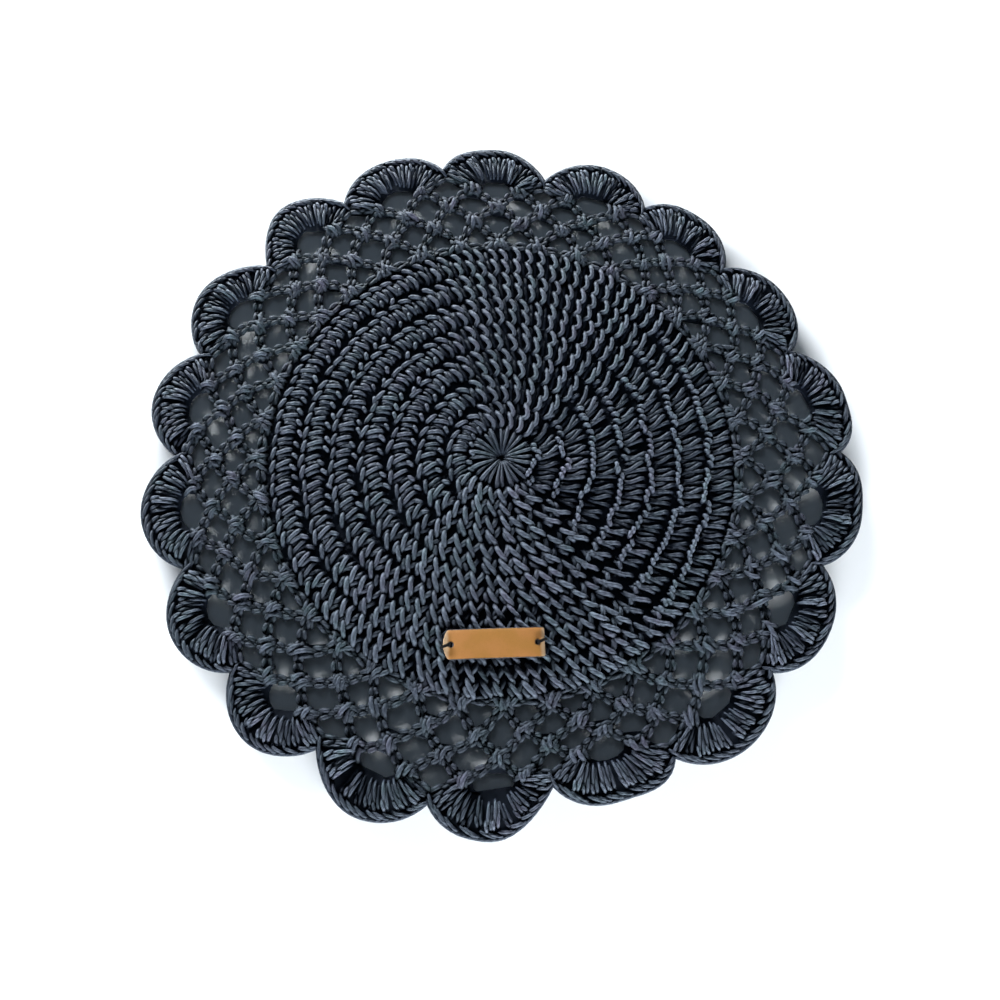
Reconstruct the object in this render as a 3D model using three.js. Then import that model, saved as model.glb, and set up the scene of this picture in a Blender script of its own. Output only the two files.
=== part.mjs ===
// A round crochet placemat: a solid middle of eight rounds, a net of chain loops, a border of
// shells with a corded edge, and a small leather tab sewn on near the front.
// Millimetres, +Z up. The origin is the middle of the first round, on the table.
import * as THREE from "three";

// Plan of the mat
const TIP = 192.5; // middle to the outermost point of a shell
const NOTCH = 175.6; // middle to the notch between two shells
const FIRST_NOTCH = 5.2; // degrees, where an even border would have its first notch
const FIRST_ROUND = 17; // outer radius of the first round
const ROUND_PITCH = 15.5; // how far each later round reaches past the one before
const ROUNDS = 8;
const COARSE_ROUNDS = 3; // middle rounds, drawn with half as many points as the others
const DISC = FIRST_ROUND + ROUND_PITCH * (ROUNDS - 1); // outer radius of the solid middle

// Heights above the table
const CHAIN = 6; // crest of the chain that tops each round, and of the corded edge
const POST = 5.3; // upright stitches between two chains
const GROOVE = 4.4; // line where one round is worked into the last
const KNOT = 5.6; // where two chain loops are joined
const LOOP = 4.7; // chain loop, half way between its knots
const GAP_EDGE = 3.1; // where the cord turns down into a gap
const RIB = 5.3; // post of a shell, at the corded edge
const RIB_VALLEY = 3.9; // between two posts of a shell
const OUTER_EDGE = 3; // where the corded edge turns down to the table

// Across a round, from its inner edge and back from its outer edge
const GROOVE_IN = 1.2;
const POST_IN = 3.4;
const CHAIN_BACK = 2;

// The border as it lies. Each row is a notch and the shell that follows it counterclockwise:
// the notch's angle from +X in degrees, and how far out the notch and the shell's tip are.
const SHELLS = [
  { notchAt: 6, notch: 183, tip: 193 },
  { notchAt: 26, notch: 174, tip: 189 },
  { notchAt: 46.5, notch: 172, tip: 188 },
  { notchAt: 66, notch: 175, tip: 191 },
  { notchAt: 86, notch: 173, tip: 192 },
  { notchAt: 105.5, notch: 181, tip: 195 },
  { notchAt: 125, notch: 179, tip: 197 },
  { notchAt: 144, notch: 174, tip: 194 },
  { notchAt: 165, notch: 175, tip: 191 },
  { notchAt: 184.5, notch: 173, tip: 191 },
  { notchAt: 205, notch: 174, tip: 192 },
  { notchAt: 224.5, notch: 176, tip: 193 },
  { notchAt: 243.5, notch: 175, tip: 195 },
  { notchAt: 263, notch: 179, tip: 193 },
  { notchAt: 283, notch: 169, tip: 184 },
  { notchAt: 303.5, notch: 176, tip: 193 },
  { notchAt: 325, notch: 177, tip: 192 },
  { notchAt: 345.5, notch: 177, tip: 194 },
];
const LOOPS = 2; // chain loops in each round of the net, to a shell
const SHELL_STEP = 360 / SHELLS.length; // degrees from one shell to the next
const LOOP_STEP = SHELL_STEP / LOOPS; // degrees from one chain loop to the next
const THINNEST = 0.4; // twice the smallest face between two rows of points, in square millimetres

// How far the net strays from an even one, outwards and sideways, and in what waves: turns is how
// many go round the mat, and lag how many millimetres outwards shift one by a radian
const WANDER = 1.2;
const OUTWARD_WAVES = [
  { turns: 11, lag: 5 },
  { turns: 17, lag: -8 },
];
const SIDEWAYS_WAVE = { turns: 13, lag: -6 };

// Rounds of knots in the net: how far out they are, and how far the chain loops that leave them
// bow outwards. The last loops are pulled straight by the shells, which are worked into that
// round, and the last row is the foot of the notches.
const NET = [
  { radius: 129, bow: 1.4 },
  { radius: 143, bow: 0.6 },
  { radius: 153.5, bow: 0.6 },
  { radius: 164.5, bow: -0.6 },
  { radius: 171, bow: 0 },
];
const SHELL_LEVEL = NET.length - 2; // round of knots at the sides of each shell
// Rounds of gaps. Level is the round of knots at a gap's sides, middle is how far out the gap's
// middle is, first is how many loops the first gap is from a shell's middle line, and every is
// how many loops there are to a gap. Side, outside, inside and loop say how far the knots and
// loops reach in from the net's own lines.
const GAPS = [
  { level: 0, middle: 135, first: 0.5, every: 1, side: 2.8, outside: 4.4, inside: 1.6, loop: 2.3 },
  { level: 1, middle: 143, first: 0, every: 1, side: 4.6, outside: 4.6, inside: 4.6, loop: 2.3 },
  { level: 2, middle: 154, first: 0.5, every: 1, side: 4.6, outside: 4.6, inside: 4.6, loop: 2.3 },
  { level: 3, middle: 162.5, first: 1, every: 2, side: 7.4, outside: 3, inside: 4.6, loop: 3 },
];
// The gap in a shell: an arch outwards from its waist and a shallower sill inwards, each with its
// depth and its number of steps
const SHELL_GAP = { halfWidth: 9, waist: 163.5, archDepth: 7.1, arch: 6, sillDepth: 4, sill: 4 };

// Shells
const POSTS = 14; // upright stitches in each shell
const COLLAR = 10.4; // how far the rim of a shell's gap bows out past its side knots
const EDGE_WIDTH = 5.8; // corded edge, across

// Leather tab, and the threads that go through its holes and over its ends
const TAB = { length: 50, width: 15, thickness: 1.6, corner: 1.5, turn: 6.5, x: 4.5, y: -99 };
const TAB_HOLE = { radius: 1.3, fromEnd: 3.6, sides: 12 };
const THREAD = { radius: 0.6, sides: 8, steps: 16, bendsAt: 0.8 }; // bends at that share of the tab
const CLEAR = 0.3; // between pieces that touch on the real thing

const CORD = { color: 0x23262d, roughness: 0.55, metalness: 0 };
const LEATHER = { color: 0xc98f58, roughness: 0.6, metalness: 0 };
const DARK_THREAD = { color: 0x1d1d20, roughness: 0.7, metalness: 0 };

const DEG = Math.PI / 180;
const numbers = (count) => Array.from({ length: count }, (_, k) => k);
const closed = (row) => [...row, row[0]];
const between = (a, b) => (a + b) / 2;

// Smooth step from 0 at low to 1 at high
function ease(value, low, high) {
  const t = Math.min(1, Math.max(0, (value - low) / (high - low)));
  return t * t * (3 - 2 * t);
}

// Value at turn, counted in entries, of a list that goes once round the mat
function roundTheMat(list, turn) {
  const at = (k) => list[((k % list.length) + list.length) % list.length];
  const whole = Math.floor(turn);
  return at(whole) + (at(whole + 1) - at(whole)) * ease(turn - whole, 0, 1);
}

// How far the border strays from an even one: outwards at each notch and tip, and sideways
const STRAY_OUT = SHELLS.flatMap((row) => [row.notch - NOTCH, row.tip - TIP]);
const STRAY_SIDE = SHELLS.map((row, k) => row.notchAt - FIRST_NOTCH - k * SHELL_STEP);

// Where a point of an even mat really lies. Its angle is in degrees from the middle line of the
// first shell. The solid middle is even, and the net takes up what the border strays.
function lie(angle, radius) {
  if (radius <= DISC) return fromMiddle(angle, radius);
  const turn = angle / SHELL_STEP + 0.5;
  const way = angle * DEG;
  const grip = ease(radius, DISC, NOTCH);
  const sway = WANDER * Math.sin(Math.PI * Math.min(1, (radius - DISC) / (NOTCH - DISC)));
  const wave = ({ turns, lag }) => sway * Math.sin(turns * way + radius / lag);
  const out = between(...OUTWARD_WAVES.map(wave));
  return fromMiddle(
    angle + grip * roundTheMat(STRAY_SIDE, turn) + wave(SIDEWAYS_WAVE) / radius / DEG,
    radius + grip * roundTheMat(STRAY_OUT, 2 * turn) + out,
  );
}

function fromMiddle(angle, radius) {
  const a = (FIRST_NOTCH + SHELL_STEP / 2 + angle) * DEG;
  return [radius * Math.cos(a), radius * Math.sin(a)];
}

// A closed surface put together from points that its faces share. A point is named by its place
// on the even mat, so that two neighbours that name the same place get the same point.
class Skin {
  constructor() {
    this.points = [];
    this.faces = [];
    this.known = new Map();
  }

  keep(key, point) {
    if (!this.known.has(key)) {
      this.known.set(key, this.points.length);
      this.points.push(point);
    }
    return this.known.get(key);
  }

  at(angle, radius, height) {
    const turned = (Math.round((((angle % 360) + 360) % 360) * 1e4) / 1e4) % 360;
    return this.keep(`${turned} ${radius.toFixed(4)}`, [...lie(angle, radius), height]);
  }

  // A point given by its distances across and along a line out from the middle of the mat
  beside(line, across, out, height) {
    return this.at(line + Math.atan2(across, out) / DEG, Math.hypot(across, out), height);
  }

  // The place on the table right under a point
  foot(index) {
    const [x, y] = this.points[index];
    return this.keep(`under ${index}`, [x, y, 0]);
  }

  // How far the path a, b, c turns left, seen from above
  left(a, b, c) {
    const [p, q, s] = [a, b, c].map((index) => this.points[index]);
    return (q[0] - p[0]) * (s[1] - p[1]) - (q[1] - p[1]) * (s[0] - p[0]);
  }

  up(a, b, c) {
    this.faces.push(this.left(a, b, c) > 0 ? [a, b, c] : [a, c, b]);
  }

  down(a, b, c) {
    this.faces.push(this.left(a, b, c) > 0 ? [a, c, b] : [a, b, c]);
  }

  apart(a, b) {
    const [p, q] = [this.points[a], this.points[b]];
    return Math.hypot(p[0] - q[0], p[1] - q[1]);
  }

  // The band from a row of points to another on its right, by the shorter diagonals, but past
  // any that would fold a face over
  band(row, right) {
    let i = 0;
    let j = 0;
    while (i < row.length - 1 || j < right.length - 1) {
      let step = Infinity;
      let rightStep = Infinity;
      if (i < row.length - 1) {
        const folds = this.left(row[i], row[i + 1], right[j]) > -THINNEST;
        step = this.apart(row[i + 1], right[j]) + (folds ? TIP : 0);
      }
      if (j < right.length - 1) {
        const folds = this.left(right[j], right[j + 1], row[i]) < THINNEST;
        rightStep = this.apart(row[i], right[j + 1]) + (folds ? TIP : 0);
      }
      if (step <= rightStep) {
        this.up(row[i], row[i + 1], right[j]);
        i += 1;
      } else {
        this.up(row[i], right[j + 1], right[j]);
        j += 1;
      }
    }
  }

  // The band between two rows of as many points, one to one
  pairs(one, other) {
    one.slice(1).forEach((next, k) => {
      this.up(one[k], next, other[k]);
      this.up(other[k], next, other[k + 1]);
    });
  }

  // The wall from a row of points down to the table, which faces right along the row
  wall(row) {
    row.slice(1).forEach((b, k) => {
      const a = row[k];
      this.faces.push([a, this.foot(a), this.foot(b)], [a, this.foot(b), b]);
    });
  }

  // The flat underside, inside one outline and outside all the gaps
  underside(outline, gaps) {
    const flat = (row) => row.map((k) => new THREE.Vector2(this.points[k][0], this.points[k][1]));
    const feet = [...outline, ...gaps.flat()].map((index) => this.foot(index));
    for (const corners of THREE.ShapeUtils.triangulateShape(flat(outline), gaps.map(flat))) {
      this.down(...corners.map((k) => feet[k]));
    }
  }

  geometry() {
    const made = new THREE.BufferGeometry();
    made.setAttribute("position", new THREE.Float32BufferAttribute(this.points.flat(), 3));
    made.setIndex(this.faces.flat());
    made.computeVertexNormals();
    return made;
  }
}

// Solid middle: each round rises from its groove over its posts to the chain that tops it. The
// last ring is the one that the net hangs from.
function addRounds(skin) {
  const ring = (radius, height, count) =>
    closed(numbers(count).map((k) => skin.at((k * 360) / count, radius, height)));
  const rings = [];
  for (const round of numbers(ROUNDS)) {
    const outer = FIRST_ROUND + ROUND_PITCH * round;
    const inner = round ? outer - ROUND_PITCH : 0;
    const count = (round < COARSE_ROUNDS ? 1 : 2) * SHELLS.length;
    if (round) rings.push(ring(inner + GROOVE_IN, GROOVE, count));
    rings.push(ring(inner + POST_IN, POST, count));
    rings.push(ring(outer - CHAIN_BACK, CHAIN, count));
  }
  rings.push(ring(NET[0].radius, LOOP, 2 * LOOPS * SHELLS.length));
  const centre = skin.at(0, 0, GROOVE);
  rings[0].slice(1).forEach((point, k) => skin.up(centre, rings[0][k], point));
  rings.slice(1).forEach((next, k) => skin.band(rings[k], next));
}

// Places in the net: a knot, and the middle of the loop from a knot to one a level further out
function knotAt(angle, level) {
  return { angle, radius: NET[level].radius, height: level ? KNOT : LOOP };
}

function loopAt(angle, level) {
  const radius = between(NET[level].radius, NET[level + 1].radius) + NET[level].bow;
  return { angle, radius, height: LOOP };
}

// The corners of a gap counterclockwise, each with how far the net reaches in from it
function gapCorners(line, gap) {
  const { level, side, outside, inside, loop } = gap;
  const half = LOOP_STEP / 2;
  const back = [
    { ...knotAt(line - half, level), reach: side },
    { ...loopAt(line - half / 2, level), reach: loop },
    { ...knotAt(line, level + 1), reach: outside },
    { ...loopAt(line + half / 2, level), reach: loop },
    { ...knotAt(line + half, level), reach: side },
  ];
  if (!level) return [...back, { ...knotAt(line, level), reach: inside }];
  return [
    ...back,
    { ...loopAt(line + half / 2, level - 1), reach: loop },
    { ...knotAt(line, level - 1), reach: inside },
    { ...loopAt(line - half / 2, level - 1), reach: loop },
  ];
}

// The shoulder round a gap, and the gap's wall. Both rows run counterclockwise, and the gap's
// own edge is handed back for the underside.
function addGap(skin, crest, edge) {
  if (crest.length === edge.length) skin.pairs(closed(crest), closed(edge));
  else skin.band(closed(edge), closed(crest));
  skin.wall(closed([...edge].reverse()));
  return edge;
}

function addNetGap(skin, line, gap) {
  const { middle } = gap;
  const corners = gapCorners(line, gap);
  const crest = corners.map(({ angle, radius, height }) => skin.at(angle, radius, height));
  const edge = corners.map(({ angle, radius, reach }) => {
    const across = radius * Math.sin((angle - line) * DEG);
    const out = radius * Math.cos((angle - line) * DEG) - middle;
    const share = 1 - reach / Math.hypot(across, out);
    return skin.beside(line, across * share, middle + out * share, GAP_EDGE);
  });
  return addGap(skin, crest, edge);
}

// Points along an arc from one notch over the tip to the next, counterclockwise
function scallop(skin, line, notch, tip, count, height) {
  const halfWidth = notch * Math.sin(LOOP_STEP * DEG);
  const rise = tip - notch * Math.cos(LOOP_STEP * DEG);
  const radius = (halfWidth ** 2 + rise ** 2) / (2 * rise);
  const sweep = Math.asin(halfWidth / radius);
  return numbers(count + 1).map((k) => {
    const way = sweep * ((2 * k) / count - 1);
    return skin.beside(line, radius * Math.sin(way), tip - radius * (1 - Math.cos(way)), height(k));
  });
}

// A shell: a raised rim round its gap, posts that fan out to the corded edge, and the edge
function addShell(skin, line) {
  const half = LOOP_STEP / 2;
  const side = knotAt(line, SHELL_LEVEL);
  const [foot, valleys] = [NET[SHELL_LEVEL + 1].radius, 2 * POSTS];
  const rim = numbers(valleys + 1).map((k) => {
    const way = (Math.PI * k) / valleys;
    const across = -side.radius * Math.sin(half * DEG) * Math.cos(way);
    const out = side.radius * Math.cos(half * DEG) + COLLAR * Math.sin(way);
    return skin.beside(line, across, out, KNOT);
  });
  const place = ({ angle, radius, height }) => skin.at(angle, radius, height);
  const ribs = (k) => (k % valleys ? (k % 2 ? RIB : RIB_VALLEY) : KNOT);
  const ribEnds = scallop(skin, line, foot, TIP - EDGE_WIDTH, valleys, ribs);
  const crest = [between(foot, NOTCH), TIP - EDGE_WIDTH / 2];
  const cord = scallop(skin, line, ...crest, POSTS, () => CHAIN);
  const outline = scallop(skin, line, NOTCH, TIP, POSTS, () => OUTER_EDGE);
  skin.band(rim, ribEnds.slice(1, -1));
  for (const end of [0, valleys]) {
    const turn = end ? 1 : -1;
    const loop = place(loopAt(line + turn * (half + half / 2), SHELL_LEVEL));
    skin.up(loop, ribEnds[end], ribEnds[end - turn]);
    skin.up(loop, rim[end], ribEnds[end - turn]);
  }
  skin.band(ribEnds, cord);
  skin.band(cord, outline);

  const { halfWidth, waist, archDepth, arch, sillDepth, sill } = SHELL_GAP;
  const turns = [
    ...numbers(arch).map((k) => k / arch),
    ...numbers(sill).map((k) => 1 + k / sill),
  ];
  const edge = turns.map((turn) => {
    const way = Math.PI * turn;
    const out = waist + (turn < 1 ? archDepth : sillDepth) * Math.sin(way);
    return skin.beside(line, -halfWidth * Math.cos(way), out, GAP_EDGE);
  });
  const front = [
    loopAt(line + half / 2, SHELL_LEVEL - 1),
    knotAt(line, SHELL_LEVEL - 1),
    loopAt(line - half / 2, SHELL_LEVEL - 1),
  ];
  return { outline, gap: addGap(skin, [...rim, ...front.map(place)], edge) };
}

function matGeometry() {
  const skin = new Skin();
  addRounds(skin);
  const netGaps = GAPS.flatMap((gap) =>
    numbers((2 * SHELLS.length) / gap.every).map((k) =>
      addNetGap(skin, (gap.first + k * gap.every) * LOOP_STEP, gap),
    ),
  );
  const shells = SHELLS.map((_, k) => addShell(skin, k * SHELL_STEP));
  const outline = shells.flatMap((shell) => shell.outline.slice(0, -1));
  skin.wall(closed(outline));
  skin.underside(outline, [...netGaps, ...shells.map((shell) => shell.gap)]);
  return skin.geometry();
}

// Leather tab, with a hole near each end, lying on its own underside
function tabGeometry() {
  const { length, width, thickness, corner } = TAB;
  const [x, y] = [length / 2, width / 2];
  const outline = new THREE.Shape();
  outline.absarc(x - corner, y - corner, corner, 0, Math.PI / 2);
  outline.absarc(corner - x, y - corner, corner, Math.PI / 2, Math.PI);
  outline.absarc(corner - x, corner - y, corner, Math.PI, 1.5 * Math.PI);
  outline.absarc(x - corner, corner - y, corner, 1.5 * Math.PI, 2 * Math.PI);
  for (const side of [-1, 1]) {
    const hole = new THREE.Path();
    hole.absarc(side * (x - TAB_HOLE.fromEnd), 0, TAB_HOLE.radius, 0, 2 * Math.PI);
    outline.holes.push(hole);
  }
  const curveSegments = TAB_HOLE.sides / 2;
  return new THREE.ExtrudeGeometry(outline, { depth: thickness, bevelEnabled: false, curveSegments });
}

// A thread up through the tab's hole, over its end and down again, towards +X
function threadGeometry() {
  const { radius, sides, steps, bendsAt } = THREAD;
  const end = TAB.length / 2;
  const hole = end - TAB_HOLE.fromEnd;
  const top = TAB.thickness + CLEAR + radius;
  const outside = end + CLEAR + radius;
  const route = [
    [hole, 0],
    [hole, TAB.thickness * bendsAt],
    [hole + radius, top],
    [end - radius / 2, top],
    [outside, TAB.thickness],
    [outside, 0],
  ].map(([x, z]) => new THREE.Vector3(x, 0, z));
  const section = new THREE.Shape();
  section.absarc(0, 0, radius, 0, 2 * Math.PI);
  return new THREE.ExtrudeGeometry(section, {
    steps,
    curveSegments: sides / 2,
    extrudePath: new THREE.CatmullRomCurve3(route),
  });
}

function piece(name, geometry, look) {
  const mesh = new THREE.Mesh(geometry, new THREE.MeshStandardMaterial(look));
  mesh.name = name;
  return mesh;
}

const placemat = new THREE.Group();
placemat.add(piece("mat", matGeometry(), CORD));

const label = new THREE.Group();
label.position.set(TAB.x, TAB.y, CHAIN + CLEAR);
label.rotation.z = TAB.turn * DEG;
label.add(piece("tab", tabGeometry(), LEATHER));
const rightThread = piece("tab_thread_right", threadGeometry(), DARK_THREAD);
const leftThread = piece("tab_thread_left", threadGeometry(), DARK_THREAD);
leftThread.rotation.z = Math.PI;
label.add(leftThread, rightThread);
placemat.add(label);

export default placemat;
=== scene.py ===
# %% [markdown]
# A round crochet placemat, dressed over its CAD frame.
# The CAD holds the mat's lying shape and size. This script lays the real cord over it, stitch by
# stitch, sews on the leather tab, and sets up the light and the camera. Plans are written in
# millimetres, as a crochet chart would be, and one function turns them into Blender's metres.

# %% Load the frame
import math
import random

import bpy
import numpy as np
from mathutils import Euler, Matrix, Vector


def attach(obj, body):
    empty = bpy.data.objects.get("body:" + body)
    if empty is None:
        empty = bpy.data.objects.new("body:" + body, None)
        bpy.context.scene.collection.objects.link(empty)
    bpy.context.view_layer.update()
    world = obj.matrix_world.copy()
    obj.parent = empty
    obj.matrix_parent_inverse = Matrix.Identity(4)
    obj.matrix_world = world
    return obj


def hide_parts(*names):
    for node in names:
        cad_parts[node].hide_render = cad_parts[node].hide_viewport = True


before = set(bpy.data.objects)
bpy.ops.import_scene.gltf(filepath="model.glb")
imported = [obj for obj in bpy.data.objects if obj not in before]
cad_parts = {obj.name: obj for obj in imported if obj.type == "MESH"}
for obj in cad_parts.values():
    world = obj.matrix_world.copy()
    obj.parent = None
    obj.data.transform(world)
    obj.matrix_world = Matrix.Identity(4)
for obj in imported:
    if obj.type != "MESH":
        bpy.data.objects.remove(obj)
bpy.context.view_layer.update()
MM = 0.001
print("CAD nodes:", sorted(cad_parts))

# %% [markdown]
# The camera looks down on the mat from the front, as someone standing at the table would, and
# the picture is tilted a little. It could be tracked to an empty, but a plain turn about its own
# three axes says the same with three numbers.

# %% Place the camera
CAMERA = {
    "looks_at": Vector((1.1, -22.5, 0.0)) * MM,
    "distance": 478.1 * MM,
    "elevation": math.radians(74.3),
    "tilt": math.radians(4.7),
    "lens": 32.4,
}


def place_camera(looks_at, distance, elevation, tilt, lens):
    data = bpy.data.cameras.new("camera")
    data.lens = lens
    camera = bpy.data.objects.new("camera", data)
    bpy.context.scene.collection.objects.link(camera)
    camera.rotation_mode = "ZYX"
    camera.rotation_euler = Euler((math.pi / 2 - elevation, 0, tilt), "ZYX")
    back = Vector((0, -math.cos(elevation), math.sin(elevation)))
    camera.location = looks_at + back * distance
    bpy.context.scene.camera = camera
    return camera


print("camera at", place_camera(**CAMERA).location)

# %% [markdown]
# The mat lies on a white table. Two long soft lamps stand low, the stronger one at the upper left,
# so each strand has a bright side and a dark one, and the table is in shade inside the net's gaps.
# A third lamp, small, weak and higher up, gives just enough for the table in the gaps to show as
# grey. One big lamp overhead would be simpler, but it would flatten the stitches and light the gaps.

# %% Lay the table and hang the lamps
# Directions and elevations are in degrees, sizes and distances in metres, powers in watts
TABLE = {"size": 4.0, "white": 0.93, "roughness": 0.9}
KEY = {"direction": 122, "elevation": 10, "distance": 1.6, "width": 1.6, "height": 0.14, "power": 160}
FILL = {"direction": -75, "elevation": 12, "distance": 1.6, "width": 2.4, "height": 0.2, "power": 125}
GLOW = {"direction": 112, "elevation": 46, "distance": 1.6, "width": 0.6, "height": 0.6, "power": 1.1}
LAMP_WHITE = (0.9, 0.955, 1.0)
CEILING_BLUE = (0.62, 0.80, 1.0, 1)


def lay_table(size, white, roughness):
    bpy.ops.object.select_all(action="DESELECT")
    bpy.ops.mesh.primitive_plane_add(size=size)
    table = bpy.context.object
    table.name = "table"
    finish = bpy.data.materials.new("white_table")
    finish.use_nodes = True
    shader = finish.node_tree.nodes["Principled BSDF"]
    shader.inputs["Base Color"].default_value = (white, white, white, 1)
    shader.inputs["Roughness"].default_value = roughness
    table.data.materials.append(finish)
    return table


def hang_lamp(name, colour, direction, elevation, distance, width, height, power):
    data = bpy.data.lights.new(name, "AREA")
    data.shape = "RECTANGLE"
    data.size = width
    data.size_y = height
    data.energy = power
    data.color = colour[:3]
    lamp = bpy.data.objects.new(name, data)
    lamp.visible_camera = False
    bpy.context.scene.collection.objects.link(lamp)
    way, up = math.radians(direction), math.radians(elevation)
    towards = Vector((math.cos(way) * math.cos(up), math.sin(way) * math.cos(up), math.sin(up)))
    lamp.location = towards * distance
    lamp.rotation_euler = towards.to_track_quat("Z", "Y").to_euler()
    return lamp


table = lay_table(**TABLE)
lamps = [hang_lamp("key", LAMP_WHITE, **KEY), hang_lamp("fill", LAMP_WHITE, **FILL)]
lamps.append(hang_lamp("glow", CEILING_BLUE, **GLOW))
bpy.context.scene.view_settings.view_transform = "Standard"
print(table.name, "is laid, and these lamps hang:", [lamp.name for lamp in lamps])

# %% [markdown]
# Finishes are written as shader nodes. Linking nodes by hand hides the arithmetic, so one small
# class wraps a socket: sums and products of sockets add their Math nodes, and every other node
# comes from one method that takes the node's type, its settings and its sockets. The nodes that
# the finishes use most have short methods of their own.

# %% Write shader maths as Python
class Socket:
    """An output socket of a material's or the room's nodes, or all those nodes where out is None."""

    def __init__(self, tree, out=None):
        self.tree = tree
        self.out = out

    def node(self, kind, settings, sockets, out=0):
        made = self.tree.nodes.new(kind)
        for name, value in settings.items():
            setattr(made, name, value)
        for name, value in sockets.items():
            if isinstance(value, Socket):
                self.tree.links.new(value.out, made.inputs[name])
            else:
                made.inputs[name].default_value = value
        return Socket(self.tree, made.outputs[out])

    def math(self, operation, *values):
        return self.node("ShaderNodeMath", {"operation": operation}, dict(enumerate(values)))

    def __add__(self, other):
        return self.math("ADD", self, other)

    def __sub__(self, other):
        return self.math("SUBTRACT", self, other)

    def __rsub__(self, other):
        return self.math("SUBTRACT", other, self)

    def __mul__(self, other):
        return self.math("MULTIPLY", self, other)

    def __truediv__(self, other):
        return self.math("DIVIDE", self, other)

    __radd__ = __add__
    __rmul__ = __mul__

    def sine(self):
        return self.math("SINE", self)

    def root(self):
        return self.math("SQRT", self)

    def unsigned(self):
        return self.math("ABSOLUTE", self)

    def between(self, low, high):
        """From 0 at low to 1 at high, and no further."""
        limits = {"Value": self, "From Min": low, "From Max": high}
        return self.node("ShaderNodeMapRange", {"interpolation_type": "SMOOTHSTEP"}, limits)

    def span(self, low, high):
        """low where this socket is 0, high where it is 1, both numbers."""
        return self * (high - low) + low

    def mix(self, first, second):
        """first where this socket is 0, second where it is 1, both colours."""
        settings = {"data_type": "RGBA", "blend_type": "MIX"}
        return self.node("ShaderNodeMix", settings, {0: self, 6: first, 7: second}, 2)

    def tinted(self, tint):
        """This colour multiplied by another."""
        settings = {"data_type": "RGBA", "blend_type": "MULTIPLY"}
        return self.node("ShaderNodeMix", settings, {0: 1.0, 6: self, 7: tint}, 2)

    def part(self, name):
        """One of a vector's three numbers."""
        return self.node("ShaderNodeSeparateXYZ", {}, {0: self}, name)

    def noise(self, scale, detail):
        """Cloudy noise from 0 to 1 over this place, with about that many clouds to a unit."""
        return self.node("ShaderNodeTexNoise", {}, {"Vector": self, "Scale": scale, "Detail": detail})

    def relief(self, strength, depth):
        """The bumps of a surface that stands out where this socket is high, depth in millimetres."""
        bumps = {"Height": self, "Strength": strength, "Distance": depth * MM}
        return self.node("ShaderNodeBump", {}, bumps)


def new_finish(name, **constants):
    """A material, its nodes as a Socket, and its shader with the constants on its own sockets."""
    finish = bpy.data.materials.new(name)
    finish.use_nodes = True
    shader = finish.node_tree.nodes["Principled BSDF"]
    for socket, value in constants.items():
        shader.inputs[socket.replace("_", " ")].default_value = value
    return finish, Socket(finish.node_tree), shader


def feed(nodes, shader, **links):
    """Links each value to the shader's socket of that name."""
    for socket, value in links.items():
        nodes.tree.links.new(value.out, shader.inputs[socket.replace("_", " ")])


print("shader maths knows", [name for name in vars(Socket) if "__" not in name])

# %% [markdown]
# The room glows brightly low down, as from white walls, and dimly blue above. A picture of a room
# would do the same, but two strengths and two colours say it in one line each. The camera isn't
# shown the glow: behind the table it sees one plain white, so that a view from the side is clean.

# %% Light the room
SKY = {"wall": 22.0, "wall_foot": 3, "wall_top": 8, "ceiling": 0.03}  # strengths, and degrees up
WALL_WHITE = (0.93, 0.96, 1.0, 1)
BACKDROP = (0.97, 0.98, 1.0, 1)  # what shows behind the table from the side


def light_sky(wall, wall_foot, wall_top, ceiling):
    """A glow that falls from the strength of the walls to that of the ceiling, angles in degrees."""
    world = bpy.data.worlds.new("sky")
    world.use_nodes = True
    sky = Socket(world.node_tree)
    height = sky.node("ShaderNodeTexCoord", {}, {}, "Generated").part("Z")
    foot, top = (math.sin(math.radians(angle)) for angle in (wall_foot, wall_top))
    up = height.between(foot, top)
    seen = sky.node("ShaderNodeLightPath", {}, {}, "Is Camera Ray")
    strength = up.span(wall, ceiling) * (1 - seen) + seen
    colour = seen.mix(up.mix(WALL_WHITE, CEILING_BLUE), BACKDROP)
    feed(sky, world.node_tree.nodes["Background"], Strength=strength, Color=colour)
    bpy.context.scene.world = world
    return world


print("the room is lit by", light_sky(**SKY).name)

# %% [markdown]
# The cord is smooth dark polyester: three plies twisted together, with the satin gleam of its
# long fibres. A picture of cord could be wrapped round each strand, but the strands have their
# own map, once round across and in centimetres along, so the twist is a sine of the two.
# Dye takes unevenly, so broad patches lean to green or violet. Deep between the strands the
# colour has shade painted into it, and on the crests a painted highlight makes it paler.

# %% Spin the cord's finish
CORD_SHADES = {
    "ink": (0.0235, 0.0280, 0.0385, 1),
    "teal": (0.0205, 0.0315, 0.0365, 1),
    "plum": (0.0280, 0.0265, 0.0400, 1),
}
# The cord's colour is multiplied by one where no highlight is painted, and by more on the crests, where a
# highlight is painted
NO_PAINTED_HIGHLIGHT = (1.0, 1.0, 1.0, 1)
PAINTED_HIGHLIGHT = (1.45, 1.45, 1.45, 1)  # painted highlight: how many times its colour the cord shows on the crests
PAINTED_HIGHLIGHT_FROM, PAINTED_HIGHLIGHT_TO = 4.9, 6.5  # heights between which the painted highlight comes in, in millimetres
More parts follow.
